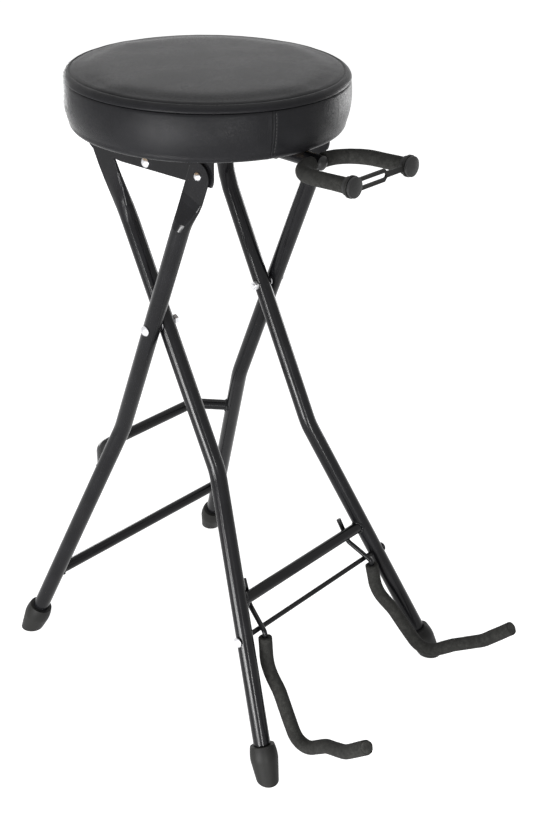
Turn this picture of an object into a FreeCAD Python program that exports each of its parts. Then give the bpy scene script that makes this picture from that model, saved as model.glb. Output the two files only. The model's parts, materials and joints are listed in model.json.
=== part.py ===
"""Folding guitar stool: a padded round seat on a folding X frame, with a neck yoke and a body cradle.

Millimetres, +Z up. The player's side is +Y and the guitar hangs on the -Y side.
The driving sizes are in the sheet; every place is worked out from them.
"""
import FreeCAD
import Part
import Sketcher
import math
import os
from collections import namedtuple
from FreeCAD import Placement, Rotation, Vector

SIZES = {
    # Seat pad
    "seat_diameter": 310.0,
    "cushion_height": 62.5,
    "crown_rise": 4.2,
    "edge_roll": 7.3,
    "roll_inset": 2.5,
    "roll_drop": 2.2,
    "seam_inset": 0.8,
    "side_bulge": 0.4,
    "heel_inset": 4.2,
    "heel_height": 5.0,
    "heel_curve": 1.5,
    "heel_lift": 0.6,
    "cover_thickness": 1.2,
    "cover_tuck": 6.0,
    "board_inset": 9.5,
    "board_thickness": 12.0,
    "soft_gap": 0.3,
    # Frame
    "side_plane": 89.75,
    "tube_diameter": 20.0,
    "tube_wall": 1.5,
    "crossing_gap": 1.5,
    "crossing_height": 478.6,
    "crossing_forward": 9.4,
    "front_lean": 26.38,
    "rear_lean": 21.0,
    "front_upper": 215.9,
    "rear_upper": 203.0,
    "front_bend_below": 181.5,
    "rear_bend_below": 161.3,
    "front_splay": 12.43,
    "rear_splay": 11.09,
    "leg_bend_radius": 80.0,
    "flat_width": 30.0,
    "front_flat_transition": 70.0,
    "rear_flat_transition": 34.0,
    "front_flat_shift": 4.5,
    "rear_flat_shift": 3.0,
    "crease_distance": 27.0,
    "side_gap": 0.3,
    "running_clearance": 0.05,
    # Cross bars
    "bar_diameter": 14.0,
    "bar_wall": 1.2,
    "weld_gap": 0.2,
    "front_bar_height": 181.7,
    "rear_bar_height": 97.8,
    "footrest_height": 265.0,
    "footrest_bow": 44.0,
    "footrest_straight": 158.0,
    "footrest_bend_radius": 26.0,
    # Foot caps
    "foot_length": 41.0,
    "foot_rim_diameter": 28.6,
    "foot_rim_height": 1.5,
    "foot_rim_swell": 0.4,
    "foot_diameter": 32.5,
    "foot_belly_below": 17.0,
    "foot_belly_swell": 0.7,
    "foot_toe_diameter": 26.0,
    "foot_sole": 14.0,
    "socket_gap": 0.2,
    # Seat brackets and their fasteners
    "pivot_drop": 18.0,
    "bracket_thickness": 2.5,
    "bracket_flange": 30.0,
    "bracket_bend_radius": 4.0,
    "bracket_depth": 32.0,
    "bracket_fall": 5.0,
    "bracket_nose_radius": 18.0,
    "bracket_end_radius": 14.0,
    "bracket_rise": 40.0,
    "notch_lean": 28.4,
    "notch_clearance": 0.6,
    "tie_rod_diameter": 9.0,
    "tie_rod_back": 2.7,
    "tie_rod_drop": 27.9,
    "tie_screw_diameter": 5.0,
    "tie_screw_length": 14.0,
    "pivot_bolt_diameter": 8.0,
    "latch_pin_diameter": 7.0,
    "latch_lip": 1.7,
    "latch_lip_thickness": 1.8,
    "latch_head_overhang": 1.0,
    "crossing_bolt_diameter": 6.0,
    "bolt_head_height": 3.6,
    "bolt_head_overhang": 3.0,
    "nut_height": 5.0,
    "nut_overhang": 2.8,
    "bolt_end": 1.5,
    "washer_overhang": 3.5,
    "wood_screw_diameter": 4.0,
    "wood_screw_head": 8.0,
    "wood_screw_head_height": 2.2,
    "wood_screw_bite": 9.0,
    "bracket_screw_spacing": 46.0,
    "bracket_screw_forward": 78.0,
    # Guitar cradle
    "cradle_rod_diameter": 6.0,
    "cradle_rod_height": 145.8,
    "cradle_half_width": 98.0,
    "wire_diameter": 6.0,
    "wire_bend_radius": 45.0,
    "hook_bend_radius": 8.0,
    "hook_ahead": 8.4,
    "hook_straight": 5.4,
    "weld_lean": 34.0,
    "tail_length": 32.0,
    "tail_inset": 4.0,
    "stop_gap": 0.4,
    "arm_sleeve_diameter": 16.5,
    "arm_sleeve_start": 6.0,
    "arm_sleeve_end": 5.0,
    "bore_gap": 0.3,
    "cradle_screw_diameter": 3.4,
    "cradle_screw_length": 12.0,
    # Neck yoke
    "stem_diameter": 15.3,
    "stem_wall": 1.5,
    "stem_drop": 1.0,
    "stem_nose": 164.5,
    "stem_tail": 20.0,
    "plug_dome": 4.0,
    "plug_depth": 2.0,
    "slide_clearance": 0.3,
    "fork_diameter": 7.0,
    "fork_setback": 6.5,
    "fork_width": 90.0,
    "fork_reach": 234.5,
    "fork_rise": 3.2,
    "fork_bend_radius": 36.0,
    "yoke_sleeve_diameter": 16.0,
    "cap_neck_diameter": 17.5,
    "cap_flange_diameter": 21.0,
    "cap_step": 1.0,
    "cap_collar": 4.0,
    "cap_neck": 3.6,
    "cap_flange": 4.2,
    "cap_dome": 1.4,
    "strap_thickness": 2.6,
    "strap_wide": 13.0,
    "strap_narrow": 6.0,
    "strap_slot": 5.4,
    "strap_step": 4.5,
    "strap_eye_wall": 2.2,
    "clamp_width": 16.0,
    "clamp_thickness": 1.6,
    "clamp_ear": 14.0,
    "clamp_setback": 61.0,
    "clamp_spacing": 78.0,
}

X_AXIS = Vector(1, 0, 0)
Y_AXIS = Vector(0, 1, 0)
Z_AXIS = Vector(0, 0, 1)
SIDES = {"left": -1, "right": 1}
# The share of a run that one bend may take, at the end of a bent rod and between two bends
END_SHARE = 0.97
MIDDLE_SHARE = 0.47
# How far up the seat's side it bulges most, and how much of a bolt head's height is domed
BULGE_SHARE = 0.55
HEAD_DOME = 0.8
Via = namedtuple("Via", "x y")

doc = FreeCAD.newDocument("FoldingGuitarStool")
sheet = doc.addObject("Spreadsheet::Sheet", "Sizes")
for row, (alias, number) in enumerate(SIZES.items(), start=1):
    sheet.set("A%d" % row, alias.replace("_", " "))
    sheet.set("B%d" % row, str(number))
    sheet.setAlias("B%d" % row, alias)
doc.recompute()
nodes = {}


def size(alias):
    """A driving size, read back from the sheet."""
    return float(sheet.get(alias))


def node(label, feature):
    """Name a finished sub-part."""
    feature.Label = label
    nodes[label] = feature
    return feature


def set_size(feature, name, amount):
    """Bind a size to the sheet when it is written as an expression, or set the number worked out."""
    if isinstance(amount, str):
        feature.setExpression(name, amount)
    else:
        setattr(feature, name, amount)


def axes(origin, along_x, along_y):
    """A placement whose local X and Y point along the two given directions."""
    return Placement(origin, Rotation(along_x, along_y, along_x.cross(along_y), "XYZ"))


def cylinder(name, diameter, length, start, direction):
    rod = doc.addObject("Part::Cylinder", name)
    rod.setExpression("Radius", "(%s) / 2" % diameter)
    set_size(rod, "Height", length)
    rod.Placement = Placement(start, Rotation(Z_AXIS, direction))
    return rod


def box(name, sizes, placement):
    block = doc.addObject("Part::Box", name)
    for side, amount in zip(("Length", "Width", "Height"), sizes):
        set_size(block, side, amount)
    block.Placement = placement
    return block


def cut(name, base, tools):
    result = doc.addObject("Part::Cut", name)
    result.Base = base
    result.Tool = tools[0] if len(tools) == 1 else fuse(name + "_tools", tools)
    return result


def fuse(name, shapes):
    result = doc.addObject("Part::MultiFuse", name)
    result.Shapes = shapes
    return result


def common(name, first, second):
    result = doc.addObject("Part::Common", name)
    result.Base = first
    result.Tool = second
    return result


def group(name, members):
    result = doc.addObject("Part::Compound", name)
    result.Links = members
    return result


def body_sketch(body, role, name):
    sketch = body.newObject("Sketcher::SketchObject", name)
    plane = next(feature for feature in body.Origin.OriginFeatures if feature.Role == role)
    sketch.AttachmentSupport = [(plane, "")]
    sketch.MapMode = "FlatFace"
    return sketch


def draw(sketch, outline):
    """Close an outline with straight edges, or arcs where a Via stands between two points."""
    start = Vector(outline[0][0], outline[0][1], 0)
    via = None
    for item in list(outline[1:]) + [outline[0]]:
        point = Vector(item[0], item[1], 0)
        if isinstance(item, Via):
            via = point
            continue
        edge = Part.LineSegment(start, point) if via is None else Part.ArcOfCircle(start, via, point)
        sketch.addGeometry(edge, False)
        start = point
        via = None


def draw_circle(sketch, centre, diameter):
    """A circle whose diameter is bound to the sheet."""
    place = Vector(centre[0], centre[1], 0)
    index = sketch.addGeometry(Part.Circle(place, Z_AXIS, 1.0), False)
    bound = sketch.addConstraint(Sketcher.Constraint("Diameter", index, 2.0))
    sketch.setExpression("Constraints[%d]" % bound, diameter)


def turned(name, outline, placement):
    """A solid turned about the local Y axis from an outline of radius and height."""
    body = doc.addObject("PartDesign::Body", name)
    sketch = body_sketch(body, "XY_Plane", name + "_profile")
    draw(sketch, outline)
    turn = body.newObject("PartDesign::Revolution", name + "_turn")
    turn.Profile = sketch
    turn.ReferenceAxis = (sketch, ["V_Axis"])
    turn.Angle = 360.0
    body.Placement = placement
    return body


def padded(name, outline, thickness, placement, holes=()):
    """A plate of an outline in the local XY plane, with round holes, padded along local Z."""
    body = doc.addObject("PartDesign::Body", name)
    sketch = body_sketch(body, "XY_Plane", name + "_outline")
    draw(sketch, outline)
    for centre, diameter in holes:
        draw_circle(sketch, centre, diameter)
    pad = body.newObject("PartDesign::Pad", name + "_pad")
    pad.Profile = sketch
    set_size(pad, "Length", thickness)
    body.Placement = placement
    return body


def dome(radius, top, rise):
    """The point half way out on a round dome that falls by its rise at its rim."""
    ball = (radius * radius + rise * rise) / (2 * rise)
    half = radius / 2
    return Via(half, top - ball + math.sqrt(ball * ball - half * half))


def rounded_run(points, radius):
    """Straight runs joined by tangent arcs, as large as the radius and the runs allow."""
    edges = []
    start = points[0]
    corners = len(points) - 2
    for index in range(1, corners + 1):
        corner = points[index]
        arrive = corner - points[index - 1]
        leave = points[index + 1] - corner
        turn = arrive.getAngle(leave)
        room_before = arrive.Length * (END_SHARE if index == 1 else MIDDLE_SHARE)
        room_after = leave.Length * (END_SHARE if index == corners else MIDDLE_SHARE)
        trim = min(radius * math.tan(turn / 2), room_before, room_after)
        arrive.normalize()
        leave.normalize()
        first = corner - arrive * trim
        last = corner + leave * trim
        inward = leave - arrive
        inward.normalize()
        bend = trim / math.tan(turn / 2)
        middle = corner + inward * (bend / math.cos(turn / 2) - bend)
        edges.append(Part.LineSegment(start, first))
        edges.append(Part.ArcOfCircle(first, middle, last))
        start = last
    edges.append(Part.LineSegment(start, points[-1]))
    return edges


def bent_tube(name, points, radius, diameter, bore, placement):
    """A bent tube in the local XY plane; it starts at the local origin and runs along +Y."""
    body = doc.addObject("PartDesign::Body", name)
    path = body_sketch(body, "XY_Plane", name + "_path")
    for edge in rounded_run(points, radius):
        path.addGeometry(edge, False)
    section = body_sketch(body, "XZ_Plane", name + "_section")
    draw_circle(section, (0, 0), diameter)
    if bore:
        draw_circle(section, (0, 0), bore)
    pipe = body.newObject("PartDesign::AdditivePipe", name + "_pipe")
    pipe.Profile = section
    pipe.Spine = (path, [])
    body.Placement = placement
    return body


def swept_rod(edges, diameter):
    """A round rod along edges that may leave one plane."""
    spine = Part.Wire([edge.toShape() for edge in edges])
    start = edges[0].StartPoint
    heading = edges[0].EndPoint - start
    ring = Part.Wire(Part.Circle(start, heading, diameter / 2).toShape())
    return spine.makePipeShell([ring], True, False)


def shaped(name, shape):
    feature = doc.addObject("Part::Feature", name)
    feature.Shape = shape
    return feature


# Places worked out from the driving sizes
tube_radius = size("tube_diameter") / 2
bar_radius = size("bar_diameter") / 2
flat_thickness = 2 * size("tube_wall")
bracket_inner = size("side_plane") - size("bracket_thickness") / 2
bracket_outer = size("side_plane") + size("bracket_thickness") / 2
crossing = Vector(0, -size("crossing_forward"), size("crossing_height"))
crossing_offset = tube_radius + size("crossing_gap") / 2
stem_radius = size("stem_diameter") / 2


class LegFrame:
    """One of the two leg pairs: a flat frame that leans through the crossing bolts."""

    def __init__(self, word, heading, axis_x, flat_x):
        self.word = word
        self.heading = heading
        self.lean = math.radians(size(word + "_lean"))
        self.down = Vector(0, heading * math.sin(self.lean), -math.cos(self.lean))
        self.axis_x = axis_x
        self.flat_offset = flat_x - axis_x
        self.flat_x = flat_x
        self.upper = size(word + "_upper")
        self.bend_at = size(word + "_bend_below")
        self.splay = math.radians(size(word + "_splay"))
        self.floor_at = crossing.z / math.cos(self.lean)
        self.transition = size(word + "_flat_transition")
        self.flat_reach = size("crease_distance") + self.transition
        self.flat_shift = size(word + "_flat_shift")
        inward = Vector(0, heading * math.cos(self.lean), math.sin(self.lean))
        self.bolt = crossing - self.down * self.upper + inward * self.flat_shift

    def at_height(self, height):
        """Distance below the crossing, along the frame, at a height over the floor."""
        return (crossing.z - height) / math.cos(self.lean)

    def aside(self, distance):
        """How far the leg's axis stands from the middle at a distance below the crossing."""
        return self.axis_x + max(0.0, distance - self.bend_at) * math.tan(self.splay)

    def point(self, distance, side):
        return crossing + self.down * distance + X_AXIS * (side * self.aside(distance))

    def lower_direction(self, side):
        return self.down * math.cos(self.splay) + X_AXIS * (side * math.sin(self.splay))


half_flat = flat_thickness / 2
front = LegFrame(
    "front", -1, size("side_plane") - crossing_offset, bracket_inner - size("side_gap") - half_flat)
rear = LegFrame(
    "rear", 1, size("side_plane") + crossing_offset, bracket_outer + size("side_gap") + half_flat)
seat_pivot = front.bolt
latch = rear.bolt
board_bottom = seat_pivot.z + size("pivot_drop")
cradle_at = front.at_height(size("cradle_rod_height"))


# Legs: bent tubes with flattened, offset, rounded top ends
def flat_section(level, half_round, half_thin, half_wide, blend, offset, shift):
    """A section between a circle (blend 0) and a flat with round edges (blend 1)."""
    split = math.radians(45)
    edge_via = math.radians(67.5)

    def mix(at_circle, at_flat):
        return at_circle + (at_flat - at_circle) * blend

    wide = mix(half_round * math.sin(split), half_wide - half_thin)
    edge = mix(half_round * math.cos(split), half_thin)
    face = mix(half_round, half_thin)
    tip = mix(half_round, half_wide)
    via_x = mix(half_round * math.cos(edge_via), half_thin * math.cos(split))
    via_z = mix(half_round * math.sin(edge_via), half_wide - half_thin + half_thin * math.sin(split))

    def at(x, z):
        return Vector(offset * blend + x, level, shift * blend + z)

    edges = []
    for sign in (1, -1):
        if blend < 1:
            edges.append(Part.Arc(
                at(sign * edge, -sign * wide), at(sign * face, 0), at(sign * edge, sign * wide)))
        else:
            edges.append(Part.LineSegment(at(sign * edge, -sign * wide), at(sign * edge, sign * wide)))
        edges.append(Part.Arc(
            at(sign * edge, sign * wide), at(sign * via_x, sign * via_z), at(0, sign * tip)))
        edges.append(Part.Arc(
            at(0, sign * tip), at(-sign * via_x, sign * via_z), at(-sign * edge, sign * wide)))
    return Part.Wire([item.toShape() for item in edges])


def flattened_end(frame, side):
    """The tube's top end, pressed flat to one side and rounded about the bolt, in the leg's own frame."""
    wall = size("tube_wall")
    slit = wall / 6
    stations = (0.0, 0.25, 0.5, 0.75, 1.0)
    outside = []
    inside = []
    half_width = size("flat_width") / 2
    shift = side * frame.heading * frame.flat_shift
    for station in stations:
        blend = station * station * (3 - 2 * station)
        level = -station * frame.transition
        outside.append(flat_section(
            level, tube_radius, half_flat, half_width, blend, frame.flat_offset, shift))
        inside.append(flat_section(
            level, tube_radius - wall, slit, half_width - wall, blend, frame.flat_offset, shift))
    pressed = Part.makeLoft(outside, True, True).cut(Part.makeLoft(inside, True, True))
    tongue_length = size("crease_distance") + half_width
    tongue = Part.Face(outside[-1]).extrude(Vector(0, -tongue_length, 0))
    keep_x = frame.flat_offset - half_flat
    bolt_level = -frame.flat_reach
    straight = Part.makeBox(
        flat_thickness, size("crease_distance"), 2 * half_width,
        Vector(keep_x, bolt_level, shift - half_width))
    rounded = Part.makeCylinder(half_width, flat_thickness, Vector(keep_x, bolt_level, shift), X_AXIS)
    return pressed.fuse(tongue.common(straight.fuse(rounded))).removeSplitter()


def leg(label, frame, side, bores):
    """One leg: bent tube and flattened end, drilled across for its bolts and rod."""
    start_at = frame.flat_reach - frame.upper
    placement = axes(frame.point(start_at, side), X_AXIS * side, frame.down)
    bend = frame.bend_at - start_at
    end = frame.floor_at - size("foot_sole") - start_at
    points = [Vector(0, 0, 0), Vector(0, bend, 0), Vector((end - bend) * math.tan(frame.splay), end, 0)]
    tube = bent_tube(
        label + "_tube", points, size("leg_bend_radius"),
        "Sizes.tube_diameter", "Sizes.tube_diameter - 2 * Sizes.tube_wall", placement)
    pressed = shaped(label + "_end", flattened_end(frame, side))
    pressed.Placement = placement
    blank = fuse(label + "_blank", [tube, pressed])
    drills = []
    for name, diameter, place in bores:
        reach = 3 * size("tube_diameter")
        start = Vector(place.x - reach / 2, place.y, place.z)
        drills.append(cylinder(
            label + name, "%s + 2 * Sizes.running_clearance" % diameter, "3 * Sizes.tube_diameter",
            start, X_AXIS))
    node(label, cut(label + "_drilled", blank, drills))


for hand, side in SIDES.items():
    leg("front_%s_leg" % hand, front, side, (
        ("_pivot_bore", "Sizes.pivot_bolt_diameter", seat_pivot + X_AXIS * (side * front.flat_x)),
        ("_crossing_bore", "Sizes.crossing_bolt_diameter", front.point(0, side)),
        ("_cradle_bore", "Sizes.cradle_rod_diameter", front.point(cradle_at, side))))
    leg("rear_%s_leg" % hand, rear, side, (
        ("_latch_bore", "Sizes.latch_pin_diameter", latch + X_AXIS * (side * rear.flat_x)),
        ("_crossing_bore", "Sizes.crossing_bolt_diameter", rear.point(0, side))))


# Cross bars, coped to the legs they are welded to
def cope(name, frame, distance, side):
    reach = 4 * size("tube_diameter")
    direction = frame.lower_direction(side)
    start = frame.point(distance, side) - direction * (reach / 2)
    return cylinder(
        name, "Sizes.tube_diameter + 2 * Sizes.weld_gap", "4 * Sizes.tube_diameter", start, direction)


def straight_bar(label, frame, height):
    distance = frame.at_height(height)
    left_end = frame.point(distance, -1)
    length = 2 * frame.aside(distance)
    outside = cylinder(label + "_outside", "Sizes.bar_diameter", length, left_end, X_AXIS)
    inside = cylinder(label + "_bore", "Sizes.bar_diameter - 2 * Sizes.bar_wall", length, left_end, X_AXIS)
    copes = [cope("%s_cope_%s" % (label, hand), frame, distance, side) for hand, side in SIDES.items()]
    node(label, cut(label + "_coped", outside, [inside] + copes))


def footrest_bar():
    """The upper rear bar, bowed back from the rear legs."""
    label = "footrest_bar"
    distance = rear.at_height(size("footrest_height"))
    left_end = rear.point(distance, -1)
    half_span = rear.aside(distance)
    corner_in = half_span - size("footrest_straight") / 2
    run = math.hypot(corner_in, size("footrest_bow"))
    heading = Vector(corner_in, size("footrest_bow"), 0)
    heading.normalize()
    placement = axes(left_end, heading.cross(Z_AXIS), heading)
    corners = (
        Vector(corner_in, size("footrest_bow"), 0),
        Vector(corner_in + size("footrest_straight"), size("footrest_bow"), 0),
        Vector(2 * half_span, 0, 0))
    points = [Vector(0, 0, 0)]
    for corner in corners:
        points.append(placement.Rotation.inverted().multVec(corner))
    points[1] = Vector(0, run, 0)
    bent = bent_tube(
        label + "_tube", points, size("footrest_bend_radius"),
        "Sizes.bar_diameter", "Sizes.bar_diameter - 2 * Sizes.bar_wall", placement)
    copes = [cope("%s_cope_%s" % (label, hand), rear, distance, side) for hand, side in SIDES.items()]
    node(label, cut(label + "_coped", bent, copes))


straight_bar("front_crossbar", front, size("front_bar_height"))
straight_bar("rear_crossbar", rear, size("rear_bar_height"))
footrest_bar()


# Rubber feet, moulded to the legs' slant and flat on the floor
def foot_cap(label, frame, side):
    direction = frame.lower_direction(side)
    touch = frame.point(frame.floor_at, side)
    length = size("foot_length")
    start = touch - direction * length
    bore = tube_radius + size("socket_gap")
    rim = size("foot_rim_diameter") / 2
    belly = size("foot_diameter") / 2
    toe = size("foot_toe_diameter") / 2
    belly_at = size("foot_belly_below")
    tube_end = frame.point(frame.floor_at - size("foot_sole"), side)
    socket = (tube_end - start).Length + size("socket_gap")
    toe_at = length + toe * math.tan(direction.getAngle(-Z_AXIS))
    taper = belly - (belly - toe) * (toe_at - belly_at) / (length - belly_at)
    outline = [
        (bore, 0), (rim, 0), (rim + size("foot_rim_swell"), size("foot_rim_height")),
        Via((rim + belly) / 2 + size("foot_belly_swell"), belly_at / 2),
        (belly, belly_at), (taper, toe_at), (0, toe_at), (0, socket), (bore, socket)]
    cross = direction.cross(Y_AXIS)
    cross.normalize()
    blank = turned(label + "_blank", outline, axes(start, cross, direction))
    span = 4 * size("foot_diameter")
    corner = Vector(touch.x - span / 2, touch.y - span / 2, -span)
    extent = "4 * Sizes.foot_diameter"
    floor = box(label + "_floor", (extent, extent, extent), Placement(corner, Rotation()))
    node(label, cut(label + "_flat", blank, [floor]))


for frame in (front, rear):
    for hand, side in SIDES.items():
        foot_cap("%s_%s_foot" % (frame.word, hand), frame, side)


# Fasteners
def domed_pin(name, shank, length, head, head_height, placement):
    """A domed head at the local origin, with its shank along local -Y."""
    outline = [
        (0, head_height), dome(head, head_height, HEAD_DOME * head_height),
        (head, (1 - HEAD_DOME) * head_height), (head, 0), (shank, 0), (shank, -length), (0, -length)]
    return turned(name, outline, placement)


def facing(place, side):
    """A placement whose local +Y looks outwards on one side."""
    return axes(place, Z_AXIS, X_AXIS * side)


def nut(name, bolt_diameter, outer_face, side):
    """A hexagon nut whose outer face stands at a place, reaching towards the middle."""
    blank = doc.addObject("Part::Prism", name + "_hex")
    blank.Polygon = 6
    blank.setExpression("Circumradius", "%s / 2 + Sizes.nut_overhang" % bolt_diameter)
    blank.setExpression("Height", "Sizes.nut_height")
    blank.Placement = Placement(outer_face, Rotation(Z_AXIS, X_AXIS * -side))
    bore = cylinder(
        name + "_bore", "%s + 2 * Sizes.running_clearance" % bolt_diameter, "Sizes.nut_height",
        outer_face, X_AXIS * -side)
    return cut(name, blank, [bore])


def bolted_pair(word, bolt_diameter, head_face, nut_face, place):
    """A bolt and its nut on each side, with the head outside."""
    bolts = []
    nuts = []
    radius = size(bolt_diameter) / 2
    length = head_face - nut_face + size("nut_height") + size("bolt_end")
    for hand, side in SIDES.items():
        head_place = place + X_AXIS * (side * head_face)
        bolts.append(domed_pin(
            "%s_bolt_%s" % (word, hand), radius, length, radius + size("bolt_head_overhang"),
            size("bolt_head_height"), facing(head_place, side)))
        nut_place = place + X_AXIS * (side * nut_face)
        nuts.append(nut("%s_nut_%s" % (word, hand), "Sizes." + bolt_diameter, nut_place, side))
    node(word + "_bolts", group(word + "_bolt_pair", bolts))
    node(word + "_nuts", group(word + "_nut_pair", nuts))


bolted_pair(
    "crossing", "crossing_bolt_diameter", rear.axis_x + tube_radius + size("side_gap"),
    front.axis_x - tube_radius - size("side_gap"), crossing)
bolted_pair(
    "seat_pivot", "pivot_bolt_diameter", bracket_outer + size("side_gap"),
    front.flat_x - half_flat, seat_pivot)

washers = []
for hand, side in SIDES.items():
    thickness = size("crossing_gap") - 2 * size("side_gap")
    inner_face = front.axis_x + tube_radius + size("side_gap")
    start = crossing + X_AXIS * (side * inner_face)
    disc = cylinder(
        "crossing_washer_disc_" + hand, "Sizes.crossing_bolt_diameter + 2 * Sizes.washer_overhang",
        thickness, start, X_AXIS * side)
    bore = cylinder(
        "crossing_washer_bore_" + hand, "Sizes.crossing_bolt_diameter + 2 * Sizes.running_clearance",
        thickness, start, X_AXIS * side)
    washers.append(cut("crossing_washer_" + hand, disc, [bore]))
node("crossing_washers", group("crossing_washer_pair", washers))


def latch_pin(name, side):
    """A shoulder pin in a rear leg's flat; the bracket's notch drops over it."""
    radius = size("latch_pin_diameter") / 2
    head = radius + size("latch_head_overhang")
    rise = size("bolt_head_height")
    head_face = rear.flat_x + half_flat
    lip_start = head_face - bracket_inner + size("side_gap")
    lip_end = lip_start + size("latch_lip_thickness")
    lip = radius + size("latch_lip")
    outline = [
        (0, rise), dome(head, rise, HEAD_DOME * rise), (head, (1 - HEAD_DOME) * rise), (head, 0), (radius, 0),
        (radius, -lip_start), (lip, -lip_start), (lip, -lip_end), (0, -lip_end)]
    return turned(name, outline, facing(latch + X_AXIS * (side * head_face), side))


node("seat_latch_pins", group("latch_pin_pair", [
    latch_pin("latch_pin_" + hand, side) for hand, side in SIDES.items()]))


# Seat pad: plywood board, foam and a two-piece vinyl cover
board_radius = size("seat_diameter") / 2 - size("board_inset")


def pad_skin(inset):
    """Outline points of the pad, moved in from its outside; heights are from under the board."""
    outer = size("seat_diameter") / 2 - inset
    top = size("cushion_height") - inset
    upper_seam = top - size("crown_rise")
    lower_seam = upper_seam - size("edge_roll")
    return {
        "centre": (0, top),
        "crown": dome(outer - size("edge_roll"), top, size("crown_rise")),
        "upper_seam": (outer - size("edge_roll"), upper_seam),
        "roll": Via(outer - size("roll_inset"), upper_seam - size("roll_drop")),
        "lower_seam": (outer - size("seam_inset"), lower_seam),
        "bulge": Via(outer + size("side_bulge"), BULGE_SHARE * lower_seam),
        "heel": (outer - size("heel_inset"), size("heel_height")),
        "heel_bend": Via(outer - size("heel_inset") - size("heel_curve"), size("heel_lift")),
        "tuck": (board_radius, inset - size("cover_thickness")),
        "tuck_end": (board_radius - size("cover_tuck"), inset - size("cover_thickness")),
    }


pad_place = axes(Vector(0, 0, board_bottom), X_AXIS, Z_AXIS)
skin = pad_skin(0.0)
lining = pad_skin(size("cover_thickness"))
filling = pad_skin(size("cover_thickness") + size("soft_gap"))
seam_level = lining["lower_seam"][1]
seam_end = (skin["lower_seam"][0], seam_level)

node("seat_top_cover", turned("top_cover", [
    skin["centre"], skin["crown"], skin["upper_seam"], skin["roll"], skin["lower_seam"], seam_end,
    lining["lower_seam"], lining["roll"], lining["upper_seam"], lining["crown"], lining["centre"],
], pad_place))
node("seat_side_cover", turned("side_cover", [
    seam_end, skin["bulge"], skin["heel"], skin["heel_bend"], skin["tuck"], skin["tuck_end"],
    lining["tuck_end"], lining["tuck"], lining["heel_bend"], lining["heel"], lining["bulge"],
    lining["lower_seam"],
], pad_place))
foam_base = size("board_thickness")
side_curve = Part.Circle(*[Vector(*filling[word], 0) for word in ("heel", "bulge", "lower_seam")])
foam_reach = math.sqrt(side_curve.Radius ** 2 - (foam_base - side_curve.Center.y) ** 2)
node("seat_foam", turned("foam", [
    (0, foam_base), (side_curve.Center.x + foam_reach, foam_base), filling["bulge"], filling["lower_seam"],
    filling["roll"], filling["upper_seam"], filling["crown"], filling["centre"],
], pad_place))


# Seat brackets, bent from plate, with their tie rod and screws
flange_middle = bracket_inner - size("bracket_flange") / 2
bracket_bottom = board_bottom - size("bracket_depth") - size("bracket_fall")
bracket_front = latch.y - size("bracket_nose_radius")
screw_rows = [-size("bracket_screw_forward") + step * size("bracket_screw_spacing") for step in range(4)]
tie_place = Vector(0, size("tie_rod_back"), board_bottom - size("tie_rod_drop"))


def bracket_profile(side):
    """The L of the bent plate, across the seat."""
    bend = size("bracket_bend_radius")
    inner_bend = bend - size("bracket_thickness")
    turn = 1 - math.sqrt(0.5)
    flange_end = bracket_inner - size("bracket_flange")
    flange_under = board_bottom - size("bracket_thickness")
    points = [
        (bracket_outer, bracket_bottom), (bracket_outer, board_bottom - bend),
        Via(bracket_outer - bend * turn, board_bottom - bend * turn), (bracket_outer - bend, board_bottom),
        (flange_end, board_bottom), (flange_end, flange_under), (bracket_inner - inner_bend, flange_under),
        Via(bracket_inner - inner_bend * turn, flange_under - inner_bend * turn),
        (bracket_inner, flange_under - inner_bend), (bracket_inner, bracket_bottom)]
    return [
        Via(side * point.x, point.y) if isinstance(point, Via) else (side * point[0], point[1])
        for point in points]


def bracket_side():
    """The bracket seen from the side: rounded about the latch pin in front and the seat pivot behind."""
    end = size("bracket_end_radius")
    nose = size("bracket_nose_radius")
    fall = size("bracket_fall") / (seat_pivot.y - latch.y)

    def lower_edge(y):
        return board_bottom - size("bracket_depth") - fall * (y - latch.y)

    chin = latch.z - lower_edge(latch.y)
    chin_y = latch.y - math.sqrt(nose * nose - chin * chin)
    nose_turn = math.asin(chin / nose) / 2
    rise_start = seat_pivot.y - size("bracket_rise")
    drop = seat_pivot.z - lower_edge(rise_start)
    gap = math.hypot(size("bracket_rise"), drop)
    aim = math.atan2(drop, size("bracket_rise")) - math.asin(end / gap)
    tangent = (seat_pivot.y + end * math.sin(aim), seat_pivot.z - end * math.cos(aim))
    middle = (aim - math.pi / 2) / 2
    return [
        (bracket_front, board_bottom), (bracket_front, latch.z),
        Via(latch.y - nose * math.cos(nose_turn), latch.z - nose * math.sin(nose_turn)),
        (chin_y, latch.z - chin), (latch.y, lower_edge(latch.y)), (rise_start, lower_edge(rise_start)), tangent,
        Via(seat_pivot.y + end * math.cos(middle), seat_pivot.z + end * math.sin(middle)),
        (seat_pivot.y + end, seat_pivot.z), (seat_pivot.y + end, board_bottom)]


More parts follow.
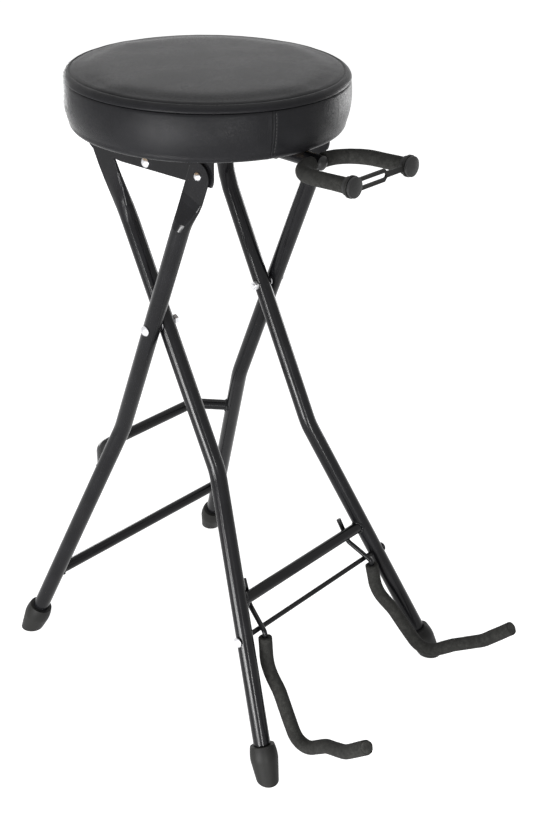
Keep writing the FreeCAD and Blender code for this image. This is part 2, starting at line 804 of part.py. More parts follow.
def bracket(label, side):
    length = seat_pivot.y + size("bracket_end_radius") - bracket_front
    profile_place = axes(Vector(0, seat_pivot.y + size("bracket_end_radius"), 0), X_AXIS, Z_AXIS)
    bent = padded(label + "_bent", bracket_profile(side), length, profile_place)
    width = size("bracket_flange") + size("bracket_thickness")
    side_start = bracket_inner - size("bracket_flange") if side > 0 else -bracket_outer
    side_place = axes(Vector(side_start, 0, 0), Y_AXIS, Z_AXIS)
    trimmed = common(
        label + "_trimmed", bent, padded(label + "_side", bracket_side(), width, side_place))
    across = 3 * size("bracket_flange")
    drills = []
    clearance = "%s + 2 * Sizes.running_clearance"
    for word, diameter, place in (
            ("_pivot_bore", clearance % "Sizes.pivot_bolt_diameter", seat_pivot),
            ("_tie_bore", clearance % "Sizes.tie_screw_diameter", tie_place),
            ("_notch_end", "Sizes.latch_pin_diameter + 2 * Sizes.side_gap", latch)):
        start = place + X_AXIS * (side * bracket_outer - across / 2)
        drills.append(cylinder(label + word, diameter, "3 * Sizes.bracket_flange", start, X_AXIS))
    notch_width = size("latch_pin_diameter") + 2 * size("notch_clearance")
    lean = math.radians(size("notch_lean"))
    notch_down = Vector(0, math.sin(lean), -math.cos(lean))
    notch_across = notch_down.cross(X_AXIS)
    corner = latch + X_AXIS * (side * bracket_outer - across / 2) - notch_across * (notch_width / 2)
    drills.append(box(
        label + "_notch",
        ("3 * Sizes.bracket_flange", "Sizes.latch_pin_diameter + 2 * Sizes.notch_clearance",
         "2 * Sizes.bracket_depth"),
        Placement(corner, Rotation(X_AXIS, notch_across, notch_down, "XYZ"))))
    for step, row_y in enumerate(screw_rows):
        start = Vector(side * flange_middle, row_y, board_bottom - 2 * size("bracket_thickness"))
        drills.append(cylinder(
            "%s_screw_bore_%d" % (label, step), clearance % "Sizes.wood_screw_diameter",
            "3 * Sizes.bracket_thickness", start, Z_AXIS))
    node(label, cut(label + "_drilled", trimmed, drills))


for hand, side in SIDES.items():
    bracket(hand + "_seat_bracket", side)


def wood_screw(name, place):
    """A pan-head screw driven up into the board; its head sits under the place."""
    radius = size("wood_screw_diameter") / 2
    head = size("wood_screw_head") / 2
    rise = size("wood_screw_head_height")
    length = board_bottom - place.z + size("wood_screw_bite")
    return domed_pin(name, radius, length, head, rise, axes(place, X_AXIS, -Z_AXIS))


bracket_screw_places = [
    Vector(side * flange_middle, row_y, board_bottom - size("bracket_thickness"))
    for side in SIDES.values() for row_y in screw_rows]
node("bracket_screws", group("bracket_screw_set", [
    wood_screw("bracket_screw_%d" % step, place) for step, place in enumerate(bracket_screw_places)]))

rod_start = tie_place - X_AXIS * bracket_inner
tie_rod = cylinder("tie_rod_bar", "Sizes.tie_rod_diameter", 2 * bracket_inner, rod_start, X_AXIS)
tie_tapping = []
tie_screws = []
for hand, side in SIDES.items():
    screw_radius = size("tie_screw_diameter") / 2
    tie_end = tie_place + X_AXIS * (side * bracket_inner)
    tie_tapping.append(cylinder(
        "tie_tapping_" + hand, "Sizes.tie_screw_diameter + 2 * Sizes.running_clearance",
        "Sizes.tie_screw_length", tie_end, X_AXIS * -side))
    tie_screws.append(domed_pin(
        "tie_screw_" + hand, screw_radius, size("tie_screw_length"),
        screw_radius + size("bolt_head_overhang"), size("bolt_head_height"),
        facing(tie_place + X_AXIS * (side * bracket_outer), side)))
node("bracket_tie_rod", cut("tie_rod_tapped", tie_rod, tie_tapping))
node("tie_rod_screws", group("tie_screw_pair", tie_screws))


# Neck yoke: a stem that slides in two clamps under the board, and a sleeved fork
sleeve_radius = size("yoke_sleeve_diameter") / 2
stem_under = size("cover_thickness") + size("slide_clearance") + size("stem_drop")
stem_z = board_bottom - stem_under - max(stem_radius, sleeve_radius)
fork_y = -size("stem_nose") + size("fork_setback")
stem_length = size("stem_nose") + size("stem_tail")
stem_start = Vector(0, -size("stem_nose"), stem_z)
fork_bore = "Sizes.fork_diameter + 2 * Sizes.running_clearance"
fork_start = Vector(-size("stem_diameter"), fork_y, stem_z)
node("yoke_stem", cut("stem_drilled", cylinder(
    "stem_tube", "Sizes.stem_diameter", stem_length, stem_start, Y_AXIS), [
    cylinder("stem_bore", "Sizes.stem_diameter - 2 * Sizes.stem_wall", stem_length, stem_start, Y_AXIS),
    cylinder("stem_fork_bore", fork_bore, "2 * Sizes.stem_diameter", fork_start, X_AXIS)]))
plug_radius = stem_radius - size("stem_wall") - size("socket_gap")
node("yoke_stem_plug", turned("stem_plug", [
    (0, size("plug_dome")), dome(stem_radius, size("plug_dome"), size("plug_dome")), (stem_radius, 0),
    (plug_radius, 0), (plug_radius, -size("plug_depth")), (0, -size("plug_depth"))],
    axes(stem_start, X_AXIS, -Y_AXIS)))

fork_half = size("fork_width") / 2
fork_tip_y = -size("fork_reach")
fork_span = fork_y - fork_tip_y
sleeve_run = fork_half - stem_radius - size("soft_gap")
fork_bend = min(size("fork_bend_radius"), END_SHARE * sleeve_run)
fork_place = axes(Vector(-fork_half, fork_tip_y, stem_z), X_AXIS, Y_AXIS)
node("yoke_fork", bent_tube("fork_rod", [
    Vector(0, 0, 0), Vector(0, fork_span, 0), Vector(2 * fork_half, fork_span, 0),
    Vector(2 * fork_half, 0, 0)], fork_bend, "Sizes.fork_diameter", None, fork_place))


def yoke_sleeve(label, side):
    """Foam sleeve from the cap back round the bend to the stem."""
    points = [Vector(0, 0, 0), Vector(0, fork_span, 0), Vector(-side * sleeve_run, fork_span, 0)]
    placement = axes(Vector(side * fork_half, fork_tip_y, stem_z), X_AXIS, Y_AXIS)
    node(label, bent_tube(
        label + "_foam", points, fork_bend, "Sizes.yoke_sleeve_diameter",
        "Sizes.fork_diameter + 2 * Sizes.bore_gap", placement))


def yoke_cap(label, side):
    """End cap: a collar, a groove for the strap's eye and a domed flange."""
    neck = size("cap_neck_diameter") / 2
    flange = size("cap_flange_diameter") / 2
    collar = size("cap_collar")
    groove = collar + size("cap_neck")
    end = groove + size("cap_flange")
    rise = size("cap_dome")
    gap = size("soft_gap")
    step = size("cap_step")
    outline = [
        (0, gap), (flange - step, gap), (flange - step, collar), (neck, collar), (neck, groove),
        (flange, groove), (flange, end - rise), dome(flange, end, rise), (0, end)]
    node(label, turned(label + "_moulding", outline, axes(
        Vector(side * fork_half, fork_tip_y, stem_z), X_AXIS, -Y_AXIS)))


def yoke_strap():
    """Rubber strap between the caps: an eye on each, a wide slotted half and a narrow tongue."""
    label = "yoke_strap"
    eye_bore = size("cap_neck_diameter") / 2 + size("soft_gap")
    eye = eye_bore + size("strap_eye_wall")
    wide = size("strap_wide") / 2
    narrow = size("strap_narrow") / 2
    slot = size("strap_slot") / 2
    middle = size("strap_step")
    shoulder = middle + wide - narrow
    wide_join = -fork_half + math.sqrt(eye * eye - wide * wide)
    narrow_join = fork_half - math.sqrt(eye * eye - narrow * narrow)
    band = [
        (wide_join, -wide), (middle, -wide), (shoulder, -narrow), (narrow_join, -narrow),
        Via(fork_half + eye, 0), (narrow_join, narrow), (shoulder, narrow), (middle, wide),
        (wide_join, wide), Via(-fork_half - eye, 0)]
    bore = "Sizes.cap_neck_diameter + 2 * Sizes.soft_gap"
    thick = size("strap_thickness")
    groove_middle = size("cap_collar") + size("cap_neck") / 2
    placement = axes(Vector(0, fork_tip_y - groove_middle + thick / 2, stem_z), X_AXIS, Z_AXIS)
    blank = padded(label + "_band", band, "Sizes.strap_thickness", placement, (
        ((-fork_half, 0), bore), ((fork_half, 0), bore)))
    slot_start = -fork_half + eye + slot
    slot_end = middle
    opening = [
        (slot_start, -slot), (slot_end, -slot), Via(slot_end + slot, 0), (slot_end, slot),
        (slot_start, slot), Via(slot_start - slot, 0)]
    window_place = axes(Vector(0, placement.Base.y + thick, stem_z), X_AXIS, Z_AXIS)
    window = padded(label + "_window", opening, "3 * Sizes.strap_thickness", window_place)
    node(label, cut(label + "_slotted", blank, [window]))


for hand, side in SIDES.items():
    yoke_sleeve(hand + "_yoke_sleeve", side)
    yoke_cap(hand + "_yoke_cap", side)
yoke_strap()
fork_tilt = Placement(Vector(), Rotation(X_AXIS, -size("fork_rise")), Vector(0, fork_y, stem_z))
for label in (
        "yoke_fork", "left_yoke_sleeve", "right_yoke_sleeve", "left_yoke_cap", "right_yoke_cap", "yoke_strap"):
    nodes[label].Placement = fork_tilt * nodes[label].Placement


# Saddle clamps that carry the stem
ear_middle = stem_radius + size("slide_clearance") + size("clamp_thickness") + size("clamp_ear") / 2
clamp_front = size("clamp_setback") - size("seat_diameter") / 2
clamp_rows = [clamp_front, clamp_front + size("clamp_spacing")]


def saddle(name, middle_y):
    inner = stem_radius + size("slide_clearance")
    outer = inner + size("clamp_thickness")
    ear = outer + size("clamp_ear")
    top = board_bottom - stem_z
    under = top - size("clamp_thickness")
    outline = [
        (-ear, top), (-ear, under), (-outer, under), (-outer, 0), Via(0, -outer), (outer, 0),
        (outer, under), (ear, under), (ear, top), (inner, top), (inner, 0), Via(0, -inner),
        (-inner, 0), (-inner, top)]
    placement = axes(Vector(0, middle_y + size("clamp_width") / 2, stem_z), X_AXIS, Z_AXIS)
    blank = padded(name + "_strip", outline, "Sizes.clamp_width", placement)
    drills = []
    for hand, side in SIDES.items():
        start = Vector(side * ear_middle, middle_y, board_bottom - 2 * size("clamp_thickness"))
        drills.append(cylinder(
            "%s_bore_%s" % (name, hand), "Sizes.wood_screw_diameter + 2 * Sizes.running_clearance",
            "3 * Sizes.clamp_thickness", start, Z_AXIS))
    return cut(name, blank, drills)


node("front_yoke_clamp", saddle("saddle_front", clamp_rows[0]))
node("rear_yoke_clamp", saddle("saddle_rear", clamp_rows[1]))
clamp_screw_places = [
    Vector(side * ear_middle, row_y, board_bottom - size("clamp_thickness"))
    for side in SIDES.values() for row_y in clamp_rows]
node("yoke_clamp_screws", group("clamp_screw_set", [
    wood_screw("clamp_screw_%d" % step, place) for step, place in enumerate(clamp_screw_places)]))

board_blank = cylinder(
    "board_disc", "Sizes.seat_diameter - 2 * Sizes.board_inset", "Sizes.board_thickness",
    Vector(0, 0, board_bottom), Z_AXIS)
pilots = []
for step, place in enumerate(bracket_screw_places + clamp_screw_places):
    pilots.append(cylinder(
        "pilot_%d" % step, "Sizes.wood_screw_diameter + 2 * Sizes.running_clearance",
        "Sizes.wood_screw_bite", Vector(place.x, place.y, board_bottom), Z_AXIS))
node("seat_board", cut("board_drilled", board_blank, pilots))


# Guitar cradle: a rod through the front legs carries two sleeved wire arms
cradle_axis = front.point(cradle_at, 1)
cradle_middle = Vector(0, cradle_axis.y, cradle_axis.z)
out_from_legs = Vector(0, front.down.z, -front.down.y)
screw_head = size("cradle_rod_diameter") / 2 + size("bolt_head_overhang")
leg_outside = cradle_axis.x + tube_radius / math.cos(front.splay)
rod_half = leg_outside + screw_head * math.tan(front.splay) + size("side_gap")
cradle_rod = cylinder(
    "cradle_rod_bar", "Sizes.cradle_rod_diameter", 2 * rod_half, cradle_middle - X_AXIS * rod_half, X_AXIS)
cradle_tapping = []
cradle_screws = []
for hand, side in SIDES.items():
    cradle_tapping.append(cylinder(
        "cradle_tapping_" + hand, "Sizes.cradle_screw_diameter + 2 * Sizes.running_clearance",
        "Sizes.cradle_screw_length + Sizes.bolt_end",
        cradle_middle + X_AXIS * (side * rod_half), X_AXIS * -side))
    cradle_screws.append(domed_pin(
        "cradle_screw_" + hand, size("cradle_screw_diameter") / 2, size("cradle_screw_length"),
        screw_head, size("bolt_head_height"),
        facing(cradle_middle + X_AXIS * (side * rod_half), side)))
node("cradle_rod", cut("cradle_rod_tapped", cradle_rod, cradle_tapping))
node("cradle_screws", group("cradle_screw_pair", cradle_screws))

# The sleeved part of an arm, as steps down the legs, out from the legs and aside from the hook
ARM_ROUTE = (
    (46.6, -2.5, 4.0),
    (75.0, 11.0, 9.0),
    (131.0, 24.0, 19.0),
    (139.0, 43.0, 21.4),
    (130.0, 79.0, 24.0),
    (127.0, 120.5, 34.0),
    (111.5, 164.7, 40.7),
)


def cradle_point(side, down, out, aside):
    across = X_AXIS * (side * (size("cradle_half_width") + aside))
    return cradle_middle + front.down * down + out_from_legs * out + across


def cradle_arm(hand, side):
    """A wire hook that is welded to the rod and stops behind the crossbar, and its foam sleeve."""
    lean = math.radians(size("weld_lean"))
    stand_off = (size("cradle_rod_diameter") + size("wire_diameter")) / 2 + size("weld_gap")
    tail_out = -(bar_radius + size("wire_diameter") / 2 + size("stop_gap"))
    weld = (-stand_off * math.sin(lean), stand_off * math.cos(lean))
    back = (weld[1] - tail_out) / math.sin(lean)
    ahead = size("hook_ahead")
    tail_corner = (weld[0] - back * math.cos(lean), tail_out)
    hook = (weld[0] + ahead * math.cos(lean), weld[1] + ahead * math.sin(lean))
    inset = -size("tail_inset") * 2
    tail_end = (tail_corner[0] - size("tail_length"), tail_out)
    hook_point = cradle_point(side, hook[0], hook[1], 0.0)
    route = [cradle_point(side, *step) for step in ARM_ROUTE]
    tip_run = route[-1] - route[-2]
    tip_run.normalize()
    wire_end = route[-1] - tip_run * size("arm_sleeve_end")
    sleeve_run = route[0] - hook_point
    sleeve_run.normalize()
    sleeve_start = hook_point + sleeve_run * size("arm_sleeve_start")
    head = [
        cradle_point(side, tail_end[0], tail_end[1], inset - size("tail_inset")),
        cradle_point(side, tail_corner[0], tail_corner[1], inset), hook_point]
    joint = hook_point + sleeve_run * size("hook_straight")
    wire_edges = rounded_run(head + [joint], size("hook_bend_radius"))
    lower_edges = rounded_run([joint] + route[:-1] + [wire_end], size("wire_bend_radius"))
    node(hand + "_cradle_arm", shaped(
        hand + "_wire", swept_rod(wire_edges + lower_edges, size("wire_diameter"))))
    bore_edges = rounded_run([sleeve_start] + route[:-1] + [wire_end], size("wire_bend_radius"))
    sleeve_edges = rounded_run([sleeve_start] + route, size("wire_bend_radius"))
    bore = swept_rod(bore_edges, size("wire_diameter") + 2 * size("bore_gap"))
    foam = swept_rod(sleeve_edges, size("arm_sleeve_diameter")).cut(bore)
    node(hand + "_cradle_sleeve", shaped(hand + "_foam_tube", foam))


for hand, side in SIDES.items():
    cradle_arm(hand, side)


# The origin is the middle of the whole object's box, on the floor
doc.recompute()
whole = FreeCAD.BoundBox()
for feature in nodes.values():
    whole.add(feature.Shape.optimalBoundingBox(False, False))
to_origin = Placement(Vector(-whole.Center.x, -whole.Center.y, -whole.ZMin), Rotation())
for feature in nodes.values():
    feature.Placement = to_origin * feature.Placement
doc.recompute()

for feature in doc.Objects:
    if "Invalid" in feature.State or "Error" in feature.State:
        raise RuntimeError("failed: " + feature.Label)
for label, feature in nodes.items():
    if feature.Shape.isNull() or not feature.Shape.isValid():
        raise RuntimeError("bad shape: " + label)

os.makedirs("parts", exist_ok=True)
for label, feature in nodes.items():
    feature.Shape.exportStep("parts/%s.step" % label)

print("origin shift", [round(amount, 3) for amount in to_origin.Base])
for word, place in (("crossing", crossing), ("seat pivot", seat_pivot), ("latch", latch),
                    ("cradle rod", cradle_middle), ("stem", stem_start)):
    print(word, [round(amount, 3) for amount in place + to_origin.Base])
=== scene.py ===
"""Dresses a packed folding guitar stool: its vinyl seat, foam sleeves, finishes, studio and camera.

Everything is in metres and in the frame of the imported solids: +Z up, the guitar on the -Y side.
"""
import json
import math

import bmesh
import bpy
from bpy.props import FloatProperty, FloatVectorProperty, IntProperty, PointerProperty
from mathutils import Matrix, Vector, noise
from mathutils.bvhtree import BVHTree
from mathutils.kdtree import KDTree


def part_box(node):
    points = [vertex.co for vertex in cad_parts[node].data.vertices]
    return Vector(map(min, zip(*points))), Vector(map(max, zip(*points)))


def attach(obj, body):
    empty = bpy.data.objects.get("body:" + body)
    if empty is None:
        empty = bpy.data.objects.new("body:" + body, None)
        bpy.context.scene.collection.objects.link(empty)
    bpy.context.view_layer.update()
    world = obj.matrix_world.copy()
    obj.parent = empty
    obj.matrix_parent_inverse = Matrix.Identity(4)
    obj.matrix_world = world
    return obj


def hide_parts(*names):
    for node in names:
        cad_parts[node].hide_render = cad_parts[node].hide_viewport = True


bl_info = {
    "name": "Folding guitar stool",
    "version": (1, 0, 0),
    "blender": (4, 5, 0),
    "location": "View3D > Sidebar > Stool",
    "description": "Builds the soft pieces and the finishes of a folding guitar stool around its frame",
    "category": "Object",
}

MM = 0.001
UP = Vector((0, 0, 1))
FULL_TURN = 2 * math.pi
MERGE_GAP = 0.01 * MM
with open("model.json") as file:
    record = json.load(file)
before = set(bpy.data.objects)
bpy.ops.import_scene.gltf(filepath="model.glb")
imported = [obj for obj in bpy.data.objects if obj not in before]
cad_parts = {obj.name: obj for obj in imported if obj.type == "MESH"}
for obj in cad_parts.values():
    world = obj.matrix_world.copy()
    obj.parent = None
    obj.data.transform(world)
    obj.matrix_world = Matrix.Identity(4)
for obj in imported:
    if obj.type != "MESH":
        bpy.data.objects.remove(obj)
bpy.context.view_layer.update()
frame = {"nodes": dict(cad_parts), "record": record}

TOP_LOW, TOP_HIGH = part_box("seat_top_cover")
BAND_LOW, BAND_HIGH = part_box("seat_side_cover")
BOARD_LOW, BOARD_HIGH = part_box("seat_board")
SEAT_MIDDLE = Vector(((TOP_LOW.x + TOP_HIGH.x) / 2, (TOP_LOW.y + TOP_HIGH.y) / 2, 0))


# Sizes and colours that a user would change
class StoolSeat(bpy.types.PropertyGroup):
    """The padded seat."""

    radius: FloatProperty(
        name="Radius", description="Half the seat's width at the lower seam",
        default=(TOP_HIGH.x - TOP_LOW.x) / 2, unit="LENGTH")
    base: FloatProperty(
        name="Base", description="Height of the seat's underside above the floor",
        default=BAND_LOW.z, unit="LENGTH")
    seam: FloatProperty(
        name="Seam", description="Height of the lower seam above the floor",
        default=TOP_LOW.z, unit="LENGTH")
    top: FloatProperty(
        name="Top", description="Height of the seat's crown above the floor",
        default=TOP_HIGH.z, unit="LENGTH")
    crown: FloatProperty(
        name="Crown", description="Rise of the top panel from its seam to its middle",
        default=4.2 * MM, unit="LENGTH")
    roll: FloatProperty(
        name="Edge roll", description="Width of the rolled edge between the two seams",
        default=7.3 * MM, unit="LENGTH")
    swell: FloatProperty(
        name="Swell", description="How far the foam pushes the top panel up", default=2.3 * MM, unit="LENGTH")
    board: FloatProperty(
        name="Board", description="Radius of the board inside the seat",
        default=(BOARD_HIGH.x - BOARD_LOW.x) / 2, unit="LENGTH")
    tuck: FloatProperty(
        name="Tuck", description="How far the band reaches in under the board",
        default=6.0 * MM, unit="LENGTH")
    seam_angle: FloatProperty(
        name="Band seam", description="Where the band is joined, from the right-hand side",
        default=math.radians(-110.6), subtype="ANGLE")
    stitch_aside: FloatProperty(
        name="Stitch row", description="Distance of the stitches from the band's seam",
        default=4.6 * MM, unit="LENGTH")
    stitch_pitch: FloatProperty(
        name="Stitch pitch", description="Distance from stitch to stitch", default=3.5 * MM, unit="LENGTH")
    pressure: FloatProperty(
        name="Filling", description="Pressure of the foam against the vinyl", default=4.0)
    steps: IntProperty(
        name="Steps", description="Faces around the seat", default=256, min=24)
    vinyl: FloatVectorProperty(
        name="Vinyl colour", description="Colour of the vinyl", subtype="COLOR",
        default=(0.0155, 0.0155, 0.017), min=0, max=1)
    thread: FloatVectorProperty(
        name="Thread colour", description="Colour of the band's stitches", subtype="COLOR",
        default=(0.03, 0.03, 0.03), min=0, max=1)


class StoolFinish(bpy.types.PropertyGroup):
    """Colours of the hard and the foam pieces."""

    coat: FloatVectorProperty(
        name="Powder coat", description="Colour of the coated tubes and plates", subtype="COLOR",
        default=(0.0075, 0.0075, 0.0085), min=0, max=1)
    zinc: FloatVectorProperty(
        name="Zinc", description="Colour of the plated fasteners", subtype="COLOR",
        default=(0.78, 0.78, 0.8), min=0, max=1)
    foam: FloatVectorProperty(
        name="Sleeve foam", description="Colour of the foam sleeves", subtype="COLOR",
        default=(0.024, 0.024, 0.0225), min=0, max=1)
    rubber: FloatVectorProperty(
        name="Rubber", description="Colour of the feet and the strap", subtype="COLOR",
        default=(0.01, 0.01, 0.0095), min=0, max=1)
    plastic: FloatVectorProperty(
        name="Plastic", description="Colour of the yoke's caps and plug", subtype="COLOR",
        default=(0.017, 0.017, 0.017), min=0, max=1)
    veneer: FloatVectorProperty(
        name="Plywood", description="Colour of the board's veneer", subtype="COLOR",
        default=(0.50, 0.34, 0.19), min=0, max=1)


class StoolStage(bpy.types.PropertyGroup):
    """The studio and its camera."""

    eye: FloatVectorProperty(
        name="Eye", description="Place of the camera", subtype="XYZ", unit="LENGTH",
        default=(-0.9650, -0.88155, 1.0929))
    azimuth: FloatProperty(
        name="Azimuth", description="Turn of the camera about the upright axis",
        default=math.radians(-47.991), subtype="ANGLE")
    elevation: FloatProperty(
        name="Elevation", description="How far the camera looks down",
        default=math.radians(29.103), subtype="ANGLE")
    roll: FloatProperty(
        name="Roll", description="Tilt of the camera about its view",
        default=math.radians(1.105), subtype="ANGLE")
    focal_share: FloatProperty(
        name="Focal share", description="Focal length as a share of the picture's height",
        default=1280.49 / 824)
    floor: FloatVectorProperty(
        name="Floor", description="Colour of the floor", subtype="COLOR",
        default=(0.62, 0.62, 0.62), min=0, max=1)


# Shader maths
class Tone:
    """A shader socket that takes part in Python sums; each sum adds its Math node."""

    def __init__(self, finish, socket):
        self.finish = finish
        self.socket = socket

    def _sum(self, operation, first, second):
        return self.finish.node("ShaderNodeMath", {"operation": operation}, {0: first, 1: second})

    def __add__(self, other):
        return self._sum("ADD", self, other)

    def __radd__(self, other):
        return self._sum("ADD", other, self)

    def __sub__(self, other):
        return self._sum("SUBTRACT", self, other)

    def __rsub__(self, other):
        return self._sum("SUBTRACT", other, self)

    def __mul__(self, other):
        return self._sum("MULTIPLY", self, other)

    def __rmul__(self, other):
        return self._sum("MULTIPLY", other, self)


SOCKETS = {
    "base_color": "Base Color", "roughness": "Roughness", "metallic": "Metallic", "normal": "Normal",
    "specular": "Specular IOR Level",
}


class Finish:
    """A material that is built node by node."""

    def __init__(self, name):
        self.material = bpy.data.materials.new(name)
        self.material.use_nodes = True
        self.take(self.material.node_tree)

    @classmethod
    def on_tree(cls, tree):
        """Builds on a node tree that isn't a material's."""
        made = cls.__new__(cls)
        made.take(tree)
        return made

    def take(self, tree):
        self.tree = tree
        tree.nodes.clear()

    def node(self, kind, settings=None, inputs=None, output=0):
        """Adds a node: first its settings, then the values or links of its sockets."""
        made = self.tree.nodes.new(kind)
        for key, value in (settings or {}).items():
            setattr(made, key, value)
        for key, value in (inputs or {}).items():
            if isinstance(value, Tone):
                self.tree.links.new(value.socket, made.inputs[key])
            else:
                made.inputs[key].default_value = value
        return Tone(self, made.outputs[output]) if len(made.outputs) else None

    def places(self):
        """The piece's own coordinates, in metres."""
        return self.node("ShaderNodeTexCoord", output="Object")

    def cloud(self, size, detail=3.0, distortion=0.0):
        """Soft noise with blotches of about a size, from 0 to 1."""
        return self.node("ShaderNodeTexNoise", None, {
            "Vector": self.places(), "Scale": 1 / size, "Detail": detail, "Distortion": distortion})

    def ramp(self, value, low, high):
        """A value spread from 0 at low to 1 at high."""
        return self.node("ShaderNodeMapRange", {"clamp": True}, {
            "Value": value, "From Min": low, "From Max": high})

    def mix(self, share, first, second):
        """Two colours mixed by a share."""
        return self.node("ShaderNodeMix", {"data_type": "RGBA"}, {
            "Factor": share, 6: self.colour(first), 7: self.colour(second)}, output=2)

    @staticmethod
    def colour(value):
        return value if isinstance(value, Tone) else (*value, 1)

    def bump(self, height, depth):
        """A normal from a height that runs from 0 to 1 over a depth in metres."""
        return self.node("ShaderNodeBump", None, {"Height": height, "Distance": depth, "Strength": 1.0})

    def surface(self, **inputs):
        """The closing shader, with constants on its own sockets."""
        shader = self.node("ShaderNodeBsdfPrincipled", None, {
            SOCKETS[key]: value for key, value in inputs.items()})
        self.node("ShaderNodeOutputMaterial", None, {"Surface": shader})
        return self.material


def scaled(colour, factor):
    return tuple(channel * factor for channel in colour)


def vinyl_finish(name, colour):
    """Grained charcoal vinyl with a soft gloss."""
    finish = Finish(name)
    warp = finish.cloud(2.5 * MM, 2.0)
    grain = finish.node("ShaderNodeTexVoronoi", {"feature": "DISTANCE_TO_EDGE"}, {
        "Vector": finish.places(), "Scale": 1 / (1.1 * MM)})
    pebble = finish.ramp(grain + warp * 0.25, 0.08, 0.42)
    fine = finish.cloud(0.35 * MM, 2.0)
    blotch = finish.ramp(finish.cloud(45 * MM, 3.0), 0.3, 0.7)
    tint = finish.mix(blotch, scaled(colour, 0.88), scaled(colour, 1.1))
    base = finish.mix(pebble, finish.mix(0.5, tint, scaled(colour, 0.5)), tint)
    return finish.surface(
        base_color=base, roughness=0.29 - pebble * 0.05 + blotch * 0.05, specular=0.08,
        normal=finish.bump(pebble * 0.8 + fine * 0.2, 0.1 * MM))


def coat_finish(name, colour):
    """Black powder coat with a faint orange peel."""
    finish = Finish(name)
    peel = finish.cloud(0.9 * MM, 2.0)
    patch = finish.ramp(finish.cloud(30 * MM, 4.0), 0.35, 0.7)
    base = finish.mix(patch, scaled(colour, 0.85), scaled(colour, 1.2))
    return finish.surface(
        base_color=base, roughness=0.17 + patch * 0.05, specular=0.17, normal=finish.bump(peel, 0.012 * MM))


def zinc_finish(name, colour):
    """Bright zinc plate with fine turning marks."""
    finish = Finish(name)
    marks = finish.cloud(0.4 * MM, 2.0)
    patch = finish.cloud(3 * MM, 3.0)
    base = finish.mix(patch, scaled(colour, 0.85), colour)
    return finish.surface(
        base_color=base, metallic=1.0, roughness=0.24 + marks * 0.12, normal=finish.bump(marks, 0.01 * MM))


def foam_finish(name, colour):
    """Matt closed-cell foam with small pores."""
    finish = Finish(name)
    pores = finish.node("ShaderNodeTexVoronoi", {"feature": "F1"}, {
        "Vector": finish.places(), "Scale": 1 / (0.9 * MM)})
    pit = finish.ramp(pores, 0.1, 0.5)
    dust = finish.ramp(finish.cloud(5 * MM, 5.0), 0.36, 0.68)
    base = finish.mix(pit, scaled(colour, 0.45), finish.mix(dust, scaled(colour, 0.8), scaled(colour, 1.5)))
    return finish.surface(
        base_color=base, roughness=0.82 + dust * 0.1, specular=0.13,
        normal=finish.bump(pit, 0.15 * MM))


def rubber_finish(name, colour):
    """Moulded rubber, dull, with a little bloom."""
    finish = Finish(name)
    skin = finish.cloud(0.6 * MM, 3.0)
    bloom = finish.ramp(finish.cloud(12 * MM, 4.0), 0.4, 0.75)
    base = finish.mix(bloom, colour, scaled(colour, 1.4))
    return finish.surface(
        base_color=base, roughness=0.5 + bloom * 0.15, specular=0.18, normal=finish.bump(skin, 0.04 * MM))


def plastic_finish(name, colour):
    """Matt moulded plastic with a spark-eroded grain."""
    finish = Finish(name)
    grain = finish.cloud(0.5 * MM, 2.0)
    cast = finish.ramp(finish.cloud(15 * MM, 3.0), 0.35, 0.7)
    base = finish.mix(cast, scaled(colour, 0.9), scaled(colour, 1.15))
    return finish.surface(
        base_color=base, roughness=0.42 + cast * 0.1, specular=0.25, normal=finish.bump(grain, 0.03 * MM))


def plywood_finish(name, colour):
    """Rotary-cut veneer, with the plies showing round the edge."""
    finish = Finish(name)
    stretched = finish.node("ShaderNodeMapping", None, {
        "Vector": finish.places(), "Scale": (1.0, 0.12, 1.0)})
    wave = finish.node("ShaderNodeTexNoise", None, {
        "Vector": stretched, "Scale": 1 / (9 * MM), "Detail": 5.0, "Distortion": 0.6})
    pores = finish.node("ShaderNodeTexNoise", None, {
        "Vector": stretched, "Scale": 1 / (1.2 * MM), "Detail": 2.0})
    figure = finish.ramp(wave, 0.3, 0.7)
    speck = finish.ramp(pores, 0.55, 0.7)
    sheet = finish.mix(figure, scaled(colour, 0.75), scaled(colour, 1.15))
    base = finish.mix(speck, sheet, scaled(colour, 0.55))
    return finish.surface(
        base_color=base, roughness=0.7 - figure * 0.12, normal=finish.bump(wave + speck * -0.4, 0.15 * MM))


def thread_finish(name, colour):
    """Twisted black thread."""
    finish = Finish(name)
    twist = finish.node("ShaderNodeTexWave", {"bands_direction": "DIAGONAL"}, {
        "Vector": finish.places(), "Scale": 1 / (1.6 * MM), "Distortion": 1.0})
    base = finish.mix(twist, scaled(colour, 0.5), scaled(colour, 1.3))
    return finish.surface(base_color=base, roughness=0.55 + twist * 0.1, normal=finish.bump(twist, 0.05 * MM))


# Making pieces
HANDS = (("left", -1), ("right", 1))


def add_piece(name, mesh):
    made = bpy.data.objects.new(name, mesh)
    bpy.context.scene.collection.objects.link(made)
    return made


def finish_piece(name, body, material, bm):
    """Closes a bmesh, gives it its finish and lets it ride on a body."""
    bmesh.ops.remove_doubles(bm, verts=bm.verts, dist=MERGE_GAP)
    bmesh.ops.recalc_face_normals(bm, faces=bm.faces)
    for face in bm.faces:
        face.smooth = True
    mesh = bpy.data.meshes.new(name)
    bm.to_mesh(mesh)
    bm.free()
    mesh.materials.append(material)
    made = add_piece(name, mesh)
    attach(made, body)
    return made


def dress_nodes(nodes, material):
    """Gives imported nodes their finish."""
    for name in nodes:
        slots = frame["nodes"][name].data.materials
        slots.clear()
        slots.append(material)


def nodes_of_slot(slot):
    return [part["node"] for part in frame["record"]["subparts"] if part["material_slot"] == slot]


def body_of_node(name):
    return next(body for body, members in frame["record"]["behaviour"]["bodies"].items() if name in members)


